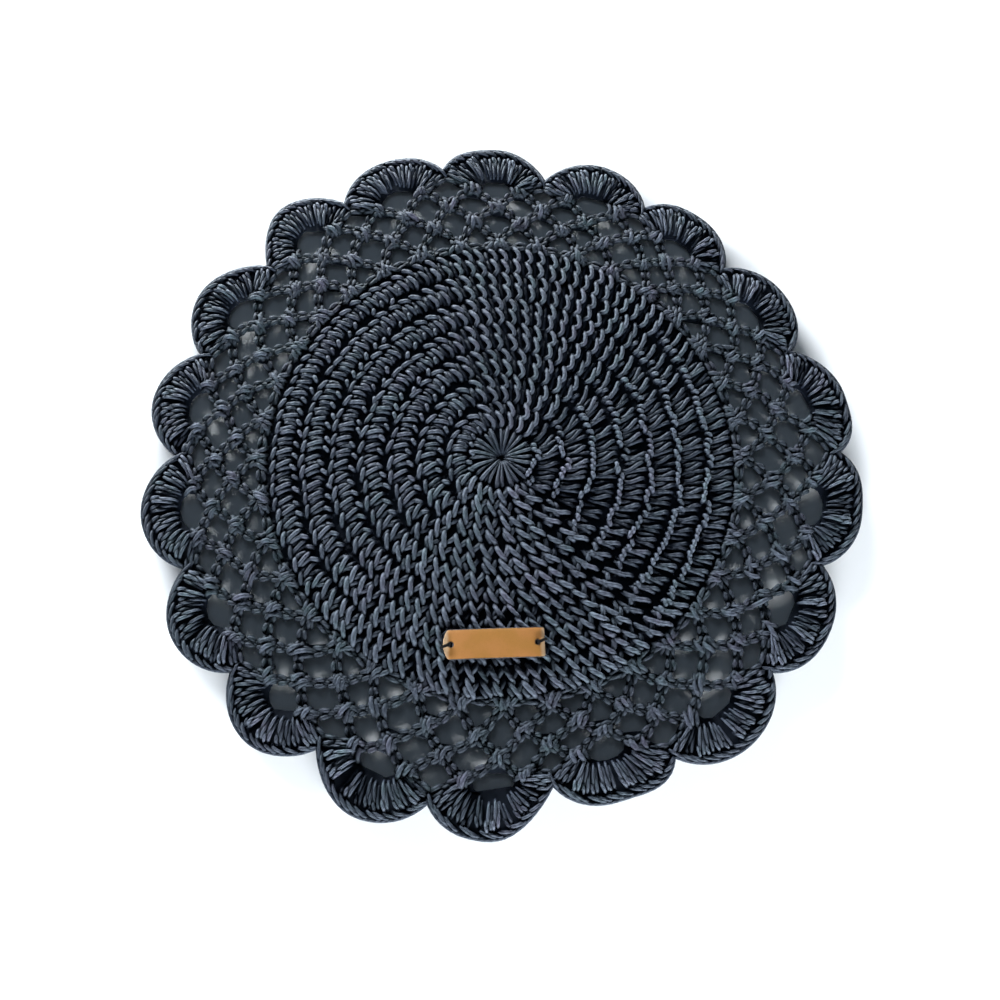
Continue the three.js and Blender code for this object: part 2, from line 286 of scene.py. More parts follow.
# Painted shade: the share of its colour that the cord keeps where the painted shade is darkest,
# at what height that is, the distances from there between which it fades, and the cord's gleam
IN_THE_MAT = {"shaded": (0.02, 0.07, 0.22, 1), "middle": 3.1, "deep": 0.3, "crest": 3.4, "gleam": 0.38}
IN_THE_NET = {"shaded": (0.05, 0.10, 0.13, 1), "middle": 2.2, "deep": 0.7, "crest": 4.2, "gleam": 0.22}
SATIN = (0.75, 0.88, 1.0, 1)  # colour of the gleam
PLIES = 3
TWIST = 0.9  # centimetres of cord to one turn of its plies
FIBRES = {"across": 9, "along": 2.2, "slant": 6}  # how close they lie, and how far they slant
PLY_DEPTH, FIBRE_DEPTH = 0.6, 0.7  # shares of the relief
BROAD_DYE, FINE_DYE = 42.0, 160.0  # patches of dye to a metre
STRAND_MAP = "UVMap"


def spin_cord_finish(name, shaded, middle, deep, crest, gleam):
    finish, nodes, shader = new_finish(name, Specular_IOR_Level=gleam, Specular_Tint=SATIN)
    place = nodes.node("ShaderNodeTexCoord", {}, {}, "Object")
    strand = nodes.node("ShaderNodeUVMap", {"uv_map": STRAND_MAP}, {})
    along, across = strand.part("X"), strand.part("Y")
    ply = ((across + along / TWIST) * (2 * math.pi * PLIES)).sine()
    lie = {"X": across * FIBRES["across"], "Y": along * FIBRES["along"] + across * FIBRES["slant"]}
    fibre = nodes.node("ShaderNodeCombineXYZ", {}, lie).noise(scale=3.0, detail=3.0)
    patch = place.noise(BROAD_DYE, detail=2.0).between(0.35, 0.65)
    dye = patch.mix(CORD_SHADES["teal"], CORD_SHADES["plum"])
    dyed = place.noise(FINE_DYE, detail=1.0).between(0.3, 0.7).mix(dye, CORD_SHADES["ink"])
    height = place.part("Z") / MM
    # Painted highlight: the colour grows paler towards the highest crests
    made_paler = height.between(PAINTED_HIGHLIGHT_FROM, PAINTED_HIGHLIGHT_TO).mix(NO_PAINTED_HIGHLIGHT, PAINTED_HIGHLIGHT)
    # Painted shade: near the cord's middle height, deep between the strands, the colour darkens towards the
    # shaded one
    lit = (height - middle).unsigned().between(deep, crest).mix(shaded, made_paler)
    bumps = (ply * PLY_DEPTH + fibre * FIBRE_DEPTH).relief(strength=0.45, depth=0.25)
    feed(nodes, shader, Base_Color=dyed.tinted(lit), Roughness=fibre.span(0.58, 0.78), Normal=bumps)
    return finish


satin_cord = spin_cord_finish("satin_cord", **IN_THE_MAT)
net_cord = spin_cord_finish("satin_cord_in_the_net", **IN_THE_NET)
print("finishes:", satin_cord.name, net_cord.name)

# %% [markdown]
# The mat was worked as an even wheel: 18 shells round a net round a solid middle. On the table it
# lies unevenly, because the border stretches. A finished mesh could be pushed about to show that,
# but it would flatten the cord. So every place is named on the even wheel, and one function says
# where it really lies. It takes the same numbers as the CAD solid, so the two stray together.

# %% Draw the plan of the mat
# Radii of the even wheel over its tips, in its notches and over its rounds, in millimetres
TIP = 192.5
NOTCH = 175.6
FIRST_ROUND = 17
ROUND_PITCH = 15.5
ROUNDS = 8
DISC = FIRST_ROUND + ROUND_PITCH * (ROUNDS - 1)
FIRST_NOTCH = 5.2  # angle of its first notch, in degrees
# A notch and the shell after it: the notch's angle, how far out it is, and how far the shell's tip
SHELLS = [
    (6, 183, 193),
    (26, 174, 189),
    (46.5, 172, 188),
    (66, 175, 191),
    (86, 173, 192),
    (105.5, 181, 195),
    (125, 179, 197),
    (144, 174, 194),
    (165, 175, 191),
    (184.5, 173, 191),
    (205, 174, 192),
    (224.5, 176, 193),
    (243.5, 175, 195),
    (263, 179, 193),
    (283, 169, 184),
    (303.5, 176, 193),
    (325, 177, 192),
    (345.5, 177, 194),
]
SHELL_STEP = 360 / len(SHELLS)
LOOP_STEP = SHELL_STEP / 2
STRAY_OUT = [out for _, notch, tip in SHELLS for out in (notch - NOTCH, tip - TIP)]
STRAY_SIDE = [row[0] - FIRST_NOTCH - k * SHELL_STEP for k, row in enumerate(SHELLS)]
WANDER = 1.2  # how far the middle of the net strays from the even wheel, in millimetres
OUTWARD_WAVES = ((11, 5), (17, -8))  # turns round the mat, and millimetres out to a radian
SIDEWAYS_WAVE = (13, -6)


def ease(value, low, high):
    share = min(1, max(0, (value - low) / (high - low)))
    return share * share * (3 - 2 * share)


def round_the_mat(values, turn):
    whole = math.floor(turn)
    here, after = values[whole % len(values)], values[(whole + 1) % len(values)]
    return here + (after - here) * ease(turn - whole, 0, 1)


def spot(angle, radius, height=0.0):
    """Where a point of the even wheel lies, in metres. Its angle is in degrees from a shell's middle."""
    turn = angle / SHELL_STEP + 0.5
    out, side = radius, angle
    if radius > DISC:
        grip = ease(radius, DISC, NOTCH)
        sway = WANDER * math.sin(math.pi * min(1, (radius - DISC) / (NOTCH - DISC)))
        waves = [
            sway * math.sin(turns * math.radians(angle) + radius / lag)
            for turns, lag in (*OUTWARD_WAVES, SIDEWAYS_WAVE)
        ]
        out += grip * round_the_mat(STRAY_OUT, 2 * turn) + (waves[0] + waves[1]) / 2
        side += grip * round_the_mat(STRAY_SIDE, turn) + math.degrees(waves[2] / radius)
    way = math.radians(FIRST_NOTCH + SHELL_STEP / 2 + side)
    return Vector((out * math.cos(way), out * math.sin(way), height)) * MM


def beside(line, across, out, height=0.0):
    """The same for a point given by its distances across and out along a line from the middle."""
    return spot(line + math.degrees(math.atan2(across, out)), math.hypot(across, out), height)


print("the wheel's first tip lies at", spot(0, TIP))

# %% [markdown]
# Every stitch is cord, so every piece is made as cord: each strand is a smooth curve through a few
# points, given a round section by the curve's bevel and then turned into a mesh. All strands of a
# piece are splines of one curve, which keeps hundreds of stitches quick. The curve's own map runs
# from 0 to 1 along each strand whatever its length, so it is stretched to centimetres.

# %% Turn strands into cord
CORD = 2.5  # thickness of the cord, in millimetres
CM = 0.01
WELD = 0.001 * MM  # how near two vertices have to lie to be merged


def sides_of(fineness):
    """The number of sides of a tube whose curve has that bevel resolution."""
    return 4 + 2 * fineness


def stretch_map(piece, strands, sides, steps):
    """Makes the map run in centimetres along each strand. The caps' vertices come before all tubes."""
    stretch = [1.0] * (2 * sides * len(strands))
    for strand in strands:
        length = sum((b - a).length for (a, _), (b, _) in zip(strand, strand[1:]))
        stretch += [length / CM] * (sides * ((len(strand) - 1) * steps + 1))
    mesh = piece.data
    spread = np.empty(2 * len(mesh.loops))
    corner = np.empty(len(mesh.loops), dtype=np.int32)
    mesh.uv_layers[STRAND_MAP].data.foreach_get("uv", spread)
    mesh.loops.foreach_get("vertex_index", corner)
    spread[0::2] *= np.array(stretch)[corner]
    mesh.uv_layers[STRAND_MAP].data.foreach_set("uv", spread)


def lay_strands(name, strands, thickness, fineness=2, steps=2):
    """A mesh of closed tubes. A strand is a list of points, each with its share of the thickness."""
    bpy.ops.object.select_all(action="DESELECT")
    curve = bpy.data.curves.new(name, "CURVE")
    curve.dimensions = "3D"
    curve.bevel_depth = thickness / 2 * MM
    curve.bevel_resolution = fineness
    curve.resolution_u = steps
    curve.use_fill_caps = True
    for strand in strands:
        spline = curve.splines.new("BEZIER")
        spline.bezier_points.add(len(strand) - 1)
        for knot, (place, share) in zip(spline.bezier_points, strand):
            on_table = share * thickness / 2 * MM
            knot.co = (place.x, place.y, max(place.z, on_table))
            knot.radius = share
            knot.handle_left_type = "AUTO"
            knot.handle_right_type = "AUTO"
    piece = bpy.data.objects.new(name, curve)
    bpy.context.scene.collection.objects.link(piece)
    piece.select_set(True)
    bpy.context.view_layer.objects.active = piece
    bpy.ops.object.convert(target="MESH")
    piece.data.name = name
    stretch_map(piece, strands, sides_of(fineness), steps)
    bpy.ops.object.mode_set(mode="EDIT")
    bpy.ops.mesh.select_all(action="SELECT")
    bpy.ops.mesh.remove_doubles(threshold=WELD)
    bpy.ops.object.mode_set(mode="OBJECT")
    bpy.ops.object.shade_smooth()
    print(name, "has", len(strands), "strands and", len(piece.data.polygons), "faces")
    return piece


def dress(piece, finish, slot, *nodes):
    """Gives a piece its finish and body, and hides the CAD nodes it stands for."""
    piece.data.materials.clear()
    piece.data.materials.append(finish)
    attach(piece, "root")
    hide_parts(*nodes)
    "mat" in nodes


print("the cord is", CORD, "mm thick")

# %% [markdown]
# The solid middle is double crochet. From above, one stitch shows a steep leg, a wrap that crosses
# its top, and a bead where the next stitch is pulled through. The mat was pulled about as it was
# worked and washed, so its stitches are drawn out to wavy columns at its back, pressed together at
# its left, ridged at its right and splayed like ears of wheat at its front. One chart could do for
# all of them, but then the mat would look the same all round, so each side has a chart of its own.

# %% Chart the double crochet
# Each point: share of a stitch across, clockwise, share of the round outwards, height of the
# cord's middle in millimetres
BACK = {
    "leg": [
        (-0.04, -0.06, 2.0), (0.18, 0.02, 4.0), (0.31, 0.10, 4.7), (0.22, 0.24, 4.8),
        (0.00, 0.40, 4.6), (-0.14, 0.50, 3.6), (-0.17, 0.58, 2.0),
    ],
    "wrap": [
        (-0.16, 0.44, 2.0), (0.06, 0.50, 3.9), (0.20, 0.58, 4.7), (0.10, 0.73, 4.8),
        (-0.12, 0.88, 4.6), (-0.27, 0.97, 3.6), (-0.31, 1.05, 2.0),
    ],
    "back leg": [
        (-0.28, 0.02, 1.7), (-0.32, 0.14, 2.4), (-0.42, 0.30, 2.6), (-0.48, 0.45, 2.5), (-0.50, 0.60, 1.7),
    ],
    "bead": [
        (-0.42, 0.55, 1.7), (-0.46, 0.66, 2.5), (-0.54, 0.78, 2.7), (-0.62, 0.90, 2.5), (-0.66, 1.00, 1.7),
    ],
    "filling": [
        (0.36, 0.30, 1.8), (0.40, 0.40, 2.5), (0.36, 0.54, 2.6), (0.30, 0.66, 2.4), (0.26, 0.74, 1.8),
    ],
}
LEFT = {
    "leg": [
        (0.30, 0.09, 1.9), (0.30, 0.18, 3.8), (0.22, 0.29, 4.3), (0.10, 0.41, 4.4),
        (-0.02, 0.53, 4.3), (-0.08, 0.61, 3.6), (-0.10, 0.68, 2.0),
    ],
    "wrap": [
        (0.42, 0.60, 2.0), (0.37, 0.65, 3.6), (0.22, 0.69, 4.3), (0.02, 0.72, 4.5),
        (-0.20, 0.75, 4.3), (-0.36, 0.77, 3.6), (-0.42, 0.79, 2.0),
    ],
    "back leg": [
        (-0.10, 0.10, 1.9), (-0.12, 0.21, 3.6), (-0.20, 0.36, 4.1), (-0.32, 0.51, 3.9), (-0.37, 0.62, 2.0),
    ],
    "bead": [
        (-0.44, -0.08, 1.9), (-0.40, -0.04, 3.9), (-0.30, 0.01, 4.6), (-0.19, 0.07, 4.3), (-0.14, 0.12, 2.2),
    ],
    "filling": [
        (0.46, 0.12, 1.9), (0.50, 0.23, 3.5), (0.50, 0.37, 3.9), (0.45, 0.49, 3.6), (0.42, 0.58, 1.9),
    ],
}
RIGHT = {
    "leg": [
        (0.34, 0.12, 1.9), (0.33, 0.22, 2.9), (0.26, 0.38, 3.4), (0.16, 0.55, 3.7),
        (0.07, 0.72, 3.8), (0.01, 0.84, 3.4), (-0.02, 0.92, 2.0),
    ],
    "wrap": [
        (0.04, 0.22, 1.9), (0.12, 0.31, 3.2), (0.04, 0.45, 3.8), (-0.14, 0.59, 4.0),
        (-0.32, 0.72, 4.0), (-0.42, 0.82, 3.5), (-0.44, 0.90, 2.0),
    ],
    "back leg": [
        (-0.31, 0.20, 1.9), (-0.34, 0.31, 3.2), (-0.43, 0.48, 3.5), (-0.55, 0.66, 3.2), (-0.60, 0.78, 1.9),
    ],
    "bead": [
        (-0.45, 0.02, 2.4), (-0.39, 0.05, 4.6), (-0.27, 0.08, 5.3), (-0.15, 0.10, 4.9), (-0.08, 0.09, 2.6),
    ],
    "filling": [
        (0.05, 0.03, 2.4), (0.11, 0.05, 4.6), (0.23, 0.08, 5.3), (0.35, 0.10, 4.9), (0.42, 0.09, 2.6),
    ],
}
FRONT = {
    "leg": [
        (0.52, 0.00, 1.9), (0.50, 0.08, 4.0), (0.38, 0.19, 5.0), (0.18, 0.32, 5.1),
        (-0.02, 0.44, 4.8), (-0.12, 0.53, 3.8), (-0.16, 0.60, 2.0),
    ],
    "wrap": [
        (0.22, 0.44, 2.0), (0.20, 0.52, 4.0), (0.06, 0.64, 5.0), (-0.14, 0.77, 5.2),
        (-0.34, 0.88, 4.9), (-0.44, 0.97, 3.8), (-0.48, 1.04, 2.0),
    ],
    "back leg": [
        (-0.36, -0.02, 1.9), (-0.36, 0.08, 3.5), (-0.26, 0.20, 4.1), (-0.10, 0.33, 3.6), (-0.02, 0.42, 1.9),
    ],
    "bead": [
        (-0.56, 0.46, 1.9), (-0.55, 0.54, 3.3), (-0.45, 0.66, 3.8), (-0.31, 0.79, 3.3), (-0.24, 0.86, 1.9),
    ],
    "filling": [
        (0.30, 0.68, 2.0), (0.28, 0.76, 3.6), (0.16, 0.86, 4.2), (0.02, 0.96, 3.7), (-0.04, 1.03, 2.0),
    ],
}
SIDES = {"back": BACK, "left": LEFT, "right": RIGHT, "front": FRONT}
print("charts of", len(SIDES), "sides, each with the strands", list(BACK))

# %% [markdown]
# A stitch is laid in a cell, a small function that turns a chart's shares into a place on the mat.
# The chart that it follows lies between those of the two nearest sides. One stitch could be copied
# round and round, which is quicker, but no two real stitches are alike, so each strays a little
# from its chart, and each of its strands a little more.

# %% Lay a stitch in a cell
FULLNESS = {"back": 1.0, "left": 0.92, "right": 0.9, "front": 1.06}  # share of the cord's thickness
UNEVEN = {"back": 1.3, "left": 1.8, "right": 2.0, "front": 2.2}  # how much more the stitches stray
# How far across the mat, as a share of a radius, one end's chart begins to give way to one side's,
# and where it has given way
CORNERS = {
    ("left", "back"): (0.15, 0.75),
    ("left", "front"): (0.5, 0.97),
    ("right", "back"): (0.5, 0.97),
    ("right", "front"): (0.5, 0.97),
}
SIDE_STRAY = 0.1  # by how much a stitch's share of a side's chart strays
CORD_STRAY = 0.04  # and by how much the thickness of each strand does
LEAN_FOOT = 0.4  # the share outwards at which a leaning stitch stays where it was
LOW = 1.7  # height of the middle of a cord that lies on the table, in millimetres

loose = random.Random(7)


def swing_of(sideways=0.035, outwards=0.014, lift=0.12, lean=0.06, uneven=1.0):
    """How far one stitch strays from its chart: two shares, millimetres up, and a lean."""
    return [loose.gauss(0, spread * uneven) for spread in (sideways, outwards, lift, lean)]


def thickening(foot, gain=0, until=1):
    """A strand's share of the cord's thickness, as a function of the share outwards."""
    return lambda outwards: foot + gain * ease(outwards, 0, until)


def stitch_in(cell, chart, swing, thickness, uneven=1.0):
    """One strand of a chart in a cell, which turns shares across and outwards into a place."""
    own = swing_of(uneven=uneven)
    across, outwards, lift, lean = (a + b / 2 for a, b in zip(swing, own))
    full = 1 + loose.gauss(0, CORD_STRAY)
    strand = []
    for x, y, z in chart:
        aside = across + lean * (y - LEAN_FOOT)
        place = cell(x + aside, y + outwards, z + lift * ease(z, LOW, 2 * LOW))
        strand.append((place, full * thickness(y)))
    return strand


def round_cell(line, step, inner, depth):
    """The cell of one stitch of a round."""
    return lambda across, outwards, height: spot(line - across * step, inner + outwards * depth, height)


def sides_at(line):
    """How much of each side's chart a stitch on a line from the middle follows."""
    way = math.radians(FIRST_NOTCH + SHELL_STEP / 2 + line)
    side = "right" if math.cos(way) > 0 else "left"
    end = "back" if math.sin(way) > 0 else "front"
    aside = ease(abs(math.cos(way)), *CORNERS[side, end]) + loose.gauss(0, SIDE_STRAY)
    return {side: aside, end: 1 - aside}


def blend(shares, values):
    return sum(share * values[side] for side, share in shares.items())


def chart_at(shares, name):
    """The strand of that name, between the charts of the two nearest sides."""
    rows = {side: np.array(SIDES[side][name]) for side in shares}
    return [tuple(point) for point in blend(shares, rows)]


second_round = round_cell(0, 15, FIRST_ROUND, ROUND_PITCH)
print("the first stitch of round 2 starts at", second_round(-0.5, 0, LOW))

# %% [markdown]
# Each round has more stitches than the one before it, as many as keep the mat flat. All strands of
# a round are one piece. From below one sees the stitches' other legs and wraps, which lie flat on
# the table. They could be left out, but the mat may be picked up and turned over, so they are laid
# as well, as one piece for all rounds.

# %% Work the rounds
STITCHES = [24, 35, 45, 60, 74, 90, 108]  # of the second round and of each round after it
UNDER_LEG = [(-0.10, 0.66, 1.6), (0.05, 0.5, 1.5), (0.22, 0.3, 1.5), (0.3, 0.12, 1.5), (0.28, -0.04, 1.7)]
UNDER_WRAP = [(-0.42, 0.94, 1.7), (-0.3, 0.84, 1.5), (0.0, 0.68, 1.5), (0.3, 0.54, 1.5), (0.42, 0.4, 1.7)]


def work_round(number, count):
    """The strands of a round that show from above, and those that show from below."""
    step = 360 / count
    inner = FIRST_ROUND + ROUND_PITCH * (number - 2)
    upper, under = [], []
    for k in range(count):
        line = (k + 0.5) * step
        cell = round_cell(line, step, inner, ROUND_PITCH)
        shares = sides_at(line)
        uneven = blend(shares, UNEVEN)
        thickness = thickening(blend(shares, FULLNESS))
        swing = swing_of(uneven=uneven)
        for name in BACK:
            upper.append(stitch_in(cell, chart_at(shares, name), swing, thickness, uneven))
        for chart in (UNDER_LEG, UNDER_WRAP):
            under.append(stitch_in(cell, chart, swing, thickening(1.0)))
    return upper, under


undersides = []
for number, count in enumerate(STITCHES, 2):
    upper, under = work_round(number, count)
    undersides += under
    dress(lay_strands(f"round_{number}", upper, CORD), satin_cord, "cord", "mat")
dress(lay_strands("underside", undersides, CORD, fineness=1), satin_cord, "cord", "mat")

# %% [markdown]
# The first round has twelve posts that all start in one small ring. Each shows two strands, long
# and straight as spokes, and a third between them. A spun copy of one post would look machined, so
# each is laid from its chart and strays a little. Near the ring the cord is pulled so tight that it
# is thinner, so the strands' share of the thickness grows from the middle outwards.

# %% Work the first round
EYE = 1.2  # radius of the ring that the first posts start in, in millimetres
FIRST_POSTS = 12
SPOKES = [
    [
        (0.24, 0.00, 2.0), (0.24, 0.10, 3.4), (0.25, 0.40, 4.4),
        (0.25, 0.75, 4.6), (0.22, 0.95, 4.2), (0.20, 1.04, 2.2),
    ],
    [
        (-0.26, 0.00, 2.0), (-0.25, 0.10, 3.3), (-0.22, 0.40, 4.2),
        (-0.20, 0.70, 4.5), (-0.24, 0.88, 4.0), (-0.26, 0.97, 2.2),
    ],
    [
        (0.00, 0.30, 2.0), (0.00, 0.42, 3.0), (0.02, 0.60, 3.7),
        (0.02, 0.80, 3.9), (0.00, 0.92, 3.4), (0.00, 1.00, 2.2),
    ],
]


def work_first_round():
    step = 360 / FIRST_POSTS
    thickness = thickening(foot=0.42, gain=0.4, until=0.9)
    strands = []
    for k in range(FIRST_POSTS):
        line = (k + 0.5) * step
        cell = round_cell(line, step, EYE, FIRST_ROUND - EYE)
        swing = swing_of()
        strands += [stitch_in(cell, spoke, swing, thickness, uneven=1.5) for spoke in SPOKES]
    return strands


dress(lay_strands("round_1", work_first_round(), CORD), satin_cord, "cord", "mat")

# %% [markdown]
# The net hangs together by chains. A chain from above is a row of Vs: in each link two strands
# start together, swell apart over the link before, and dive under the next one. Single links could
# be copied along a line, but cord is laid more simply as two mirrored strands that run the whole
# line, however it bends, and a third that fills the middle between them.

# %% Chart a chain
# Each point: share of a link along, share of the chain's half width to the side, and height
# over the chain's lowest line as a share of its rise
LINK = [(0.0, 0.5, 0.0), (0.38, 0.8, 0.95), (0.78, 1.0, 0.75)]
LINK_END = 0.4  # share of the half width at which the last link ends
MIDDLE_STRAND = [(0.0, 0.3), (0.5, 0.75), (1.0, 0.3)]  # share of the line, share of the rise
PULLED = 0.9  # share of the cord's thickness where it is drawn tight
WIDTH_STRAY, HEIGHT_STRAY = 0.12, 0.12  # a share of the width, and millimetres


def off_line(line, share, side, height):
    """A place a few millimetres to the side of a line and above it, at a share of the way along."""
    here, ahead = line(share), line(share + 0.01)
    forward = (ahead - here).normalized()
    return here + Vector((-forward.y * side, forward.x * side, height)) * MM


def chain(line, links, half_width, low, rise):
    """Two strands along line, a function from a share of the way to a place, and one between them."""
    strands = []
    for side in (-1, 1):
        strand = []
        for k in range(links):
            for along, beside_it, up in LINK:
                width = half_width * beside_it * (1 + loose.gauss(0, WIDTH_STRAY))
                height = low + up * rise + loose.gauss(0, HEIGHT_STRAY)
                strand.append((off_line(line, (k + along) / links, side * width, height), 1.0))
        strand.append((off_line(line, 1.0, side * half_width * LINK_END, low), PULLED))
        strands.append(strand)
    strands.append([(off_line(line, share, 0, low + up * rise), PULLED) for share, up in MIDDLE_STRAND])
    return strands


print("a link of chain is charted with", len(LINK), "points to a strand")

# %% [markdown]
# The net is four rounds of knots, each between two of the round before. A chain joins each knot to
# the two nearest outside it, so the gaps are diamonds. A knot is a small stitch worked over the
# chain below, and shows as short strands side by side. Round tubes with balls where they cross
# would be simpler, but the net is seen from close by, so its chains and knots are laid in strands.

# %% Work the net
# Rounds of knots: how far out they are, and how far the chains that leave them bow outwards
NET = [(129, 1.4), (143, 0.6), (153.5, 0.6), (164.5, -0.6), (171, 0)]
SHELL_LEVEL = len(NET) - 2
NET_CORD = 2.4  # the chains are pulled a little thinner, in millimetres
# Of a chain in the net: from its middle to that of its side strands, the height of its lowest
# strand, and that of its crest over it, in millimetres
BAR = {"half_width": 1.7, "low": 1.4, "rise": 2.4}
KNOT_SWING = (0.6, 0.7, 0.3, 0.28)  # how far a knot's strands stray: three in millimetres, and a lean
KNOT_LEAN, KNOT_STRAY = 0.3, 0.1  # by how much a whole knot leans, and its strands' sizes stray
# The short strands of a knot: millimetres across, millimetres out, height
KNOT_WRAPS = [
    [(-1.5, -4.2, 1.7), (-2.4, -2.2, 3.8), (-2.5, 0.0, 4.7), (-1.8, 2.2, 4.2), (-1.2, 3.8, 1.9)],
    [(1.0, -3.8, 1.7), (0.4, -2.0, 4.0), (0.3, 0.2, 4.9), (0.9, 2.4, 4.0), (1.4, 4.0, 1.8)],
    [(3.2, -3.0, 1.8), (2.9, -1.2, 3.8), (2.8, 0.8, 4.2), (3.4, 2.6, 3.2), (3.8, 3.8, 1.8)],
    [(-4.6, 1.6, 1.8), (-3.2, 0.9, 3.4), (-0.4, -0.9, 3.7), (2.4, -2.0, 3.4), (4.4, -2.6, 1.8)],
]


def knot_angle(level, k):
    return LOOP_STEP * (k + (level % 2) / 2)


def loop_line(angle, level, side):
    """The line of a chain from a knot to the knot a level further out, half a loop to the side."""
    (start, bow), (end, _) = NET[level], NET[level + 1]

    def line(share):
        out = start + (end - start) * share + bow * 4 * share * (1 - share)
        return spot(angle + side * LOOP_STEP / 2 * share, out)

    return line


def tie_knot(angle, level):
    middle = NET[level][0]
    strands = []
    knot_lean = loose.gauss(0, KNOT_LEAN)
    for wrap in KNOT_WRAPS:
        sideways, outwards, lift, lean = swing_of(*KNOT_SWING)
        lean += knot_lean
        size = 1 + loose.gauss(0, KNOT_STRAY)
        strand = []
        for x, y, z in wrap:
            across = size * (x - lean * y) + sideways
            strand.append((beside(angle, across, middle + size * y + outwards, z + lift), 1.0))
        strands.append(strand)
    return strands


def work_net_level(level):
    """A round of knots, and the chains outwards from them, of which the last meet between shells."""
    strands = []
    for k in range(2 * len(SHELLS)):
        if level < SHELL_LEVEL:
            for side in (-1, 1):
                line = loop_line(knot_angle(level, k), level, side)
                strands += chain(line, 3, **BAR)
        elif k % 2 == 0:
            meeting = knot_angle(level + 1, k) + LOOP_STEP
            for side in (-1, 1):
                line = loop_line(meeting - side * LOOP_STEP / 2, level, side)
                strands += chain(line, 2, **BAR)
    for k in range(2 * len(SHELLS)):
        strands += tie_knot(knot_angle(level, k), level)
    return strands


for level in range(SHELL_LEVEL + 1):
    piece = lay_strands(f"net_{level + 1}", work_net_level(level), NET_CORD)
    dress(piece, net_cord, "cord", "mat")

# %% [markdown]
# The net stands on a chain that tops the last round, and short posts tie its first knots to that
# chain. The knots could start on the round itself, but a real mat has this ring of small holes.

# %% Work the net's foot
FOOT = 127.4  # radius of the chain that tops the last round, in millimetres
FOOT_CHAIN = {"half_width": 1.5, "low": 1.9, "rise": 2.0}
FOOT_LINKS = 5  # from the middle of one shell to the next
# Millimetres across, radius, height
FOOT_POST = [(0.0, 124.4, 2.0), (0.4, 126.6, 4.4), (0.2, 128.6, 4.3), (-0.3, 130.4, 2.4)]
POSTS_ASIDE = (-4.4, -1.5, 1.5, 4.4)  # millimetres from the line of their knot
DRAWN_TOGETHER = 0.16  # share of that by which the posts come closer, to a millimetre outwards


def foot_arc(k):
    """The line of the chain from the middle of one shell to the next."""
    return lambda share: spot((k + share) * SHELL_STEP, FOOT)


def work_foot():
    strands = []
    for k in range(len(SHELLS)):
        strands += chain(foot_arc(k), FOOT_LINKS, **FOOT_CHAIN)
    for k in range(2 * len(SHELLS)):
        for aside in POSTS_ASIDE:
            post = []
            for x, out, z in FOOT_POST:
                across = x + aside * (1 - (out - FOOT) * DRAWN_TOGETHER)
                post.append((beside(knot_angle(0, k), across, out, z), 1.0))
            strands.append(post)
    return strands


dress(lay_strands("net_foot", work_foot(), NET_CORD), net_cord, "cord", "mat")

# %% [markdown]
# A shell is fourteen tall stitches worked into one loop of the net, so they fan out from its gap.
# One shell could be modelled and copied 18 times, but the shells of this mat differ in width and
# reach. So each stitch lies in a cell between the gap's rim and the scalloped edge, and shows as
# two long thin strands and a short one near the edge. They stray more than those of a round,
# because nothing holds a tall stitch straight.

# %% Work the shells
POSTS = 14
COLLAR = 10.4  # how far a shell's gap rises over the knots at its sides, in millimetres
EDGE_WIDTH = 5.8  # of the edge that is worked over the shells' tops, in millimetres
SHELL_SWING = (0.14, 0.05, 0.5, 0.24)  # how far a tall stitch strays, as swing_of takes it
SHELL_PIECES = 3
TALL_STRANDS = [
    [
        (0.30, -0.08, 1.6), (0.30, 0.02, 4.0), (0.24, 0.22, 4.8),
        (0.14, 0.48, 4.6), (0.06, 0.68, 3.6), (0.02, 0.80, 1.8),
    ],
    [
        (-0.18, 0.06, 1.6), (-0.20, 0.16, 3.3), (-0.22, 0.38, 4.2),
        (-0.28, 0.64, 4.7), (-0.34, 0.86, 4.3), (-0.38, 1.00, 2.0),
    ],
    [(0.30, 0.62, 1.8), (0.26, 0.70, 3.8), (0.16, 0.82, 4.8), (0.04, 0.94, 4.4), (0.00, 1.04, 2.2)],
]


def scallop(notch, tip):
    """The arc from one notch over a shell's tip to the next, as a function of the share of the way."""
    half_width = notch * math.sin(math.radians(LOOP_STEP))
    rise = tip - notch * math.cos(math.radians(LOOP_STEP))
    radius = (half_width**2 + rise**2) / (2 * rise)
    sweep = math.asin(half_width / radius)

    def place(share):
        way = sweep * (2 * share - 1)
        return radius * math.sin(way), tip - radius * (1 - math.cos(way))

    return place


edge_foot = scallop(NET[-1][0], TIP - EDGE_WIDTH)
outline = scallop(NOTCH, TIP)


def shell_rim(share):
    """The arc over a shell's gap, from one side knot to the other."""
    out = NET[SHELL_LEVEL][0]
    half = math.radians(LOOP_STEP / 2)
    across = -out * math.sin(half) * math.cos(math.pi * share)
    return across, out * math.cos(half) + COLLAR * math.sin(math.pi * share)


def shell_cell(line, post):
    """The cell of one tall stitch, from the gap's rim to the edge."""

    def cell(across, outwards, height):
        share = (post + 0.5 - across) / POSTS
        (x0, y0), (x1, y1) = shell_rim(share), edge_foot(share)
        return beside(line, x0 + (x1 - x0) * outwards, y0 + (y1 - y0) * outwards, height)

    return cell


def work_shell(line):
    strands = []
    thickness = thickening(foot=0.54, gain=0.16, until=0.8)
    for post in range(POSTS):
        cell = shell_cell(line, post)
        swing = swing_of(*SHELL_SWING)
        strands += [stitch_in(cell, chart, swing, thickness) for chart in TALL_STRANDS]
    return strands


in_a_piece = len(SHELLS) // SHELL_PIECES
for group in range(SHELL_PIECES):
    shells = range(group * in_a_piece, (group + 1) * in_a_piece)
    strands = [strand for k in shells for strand in work_shell(k * SHELL_STEP)]
    dress(lay_strands(f"shells_{group + 1}", strands, CORD), satin_cord, "cord", "mat")

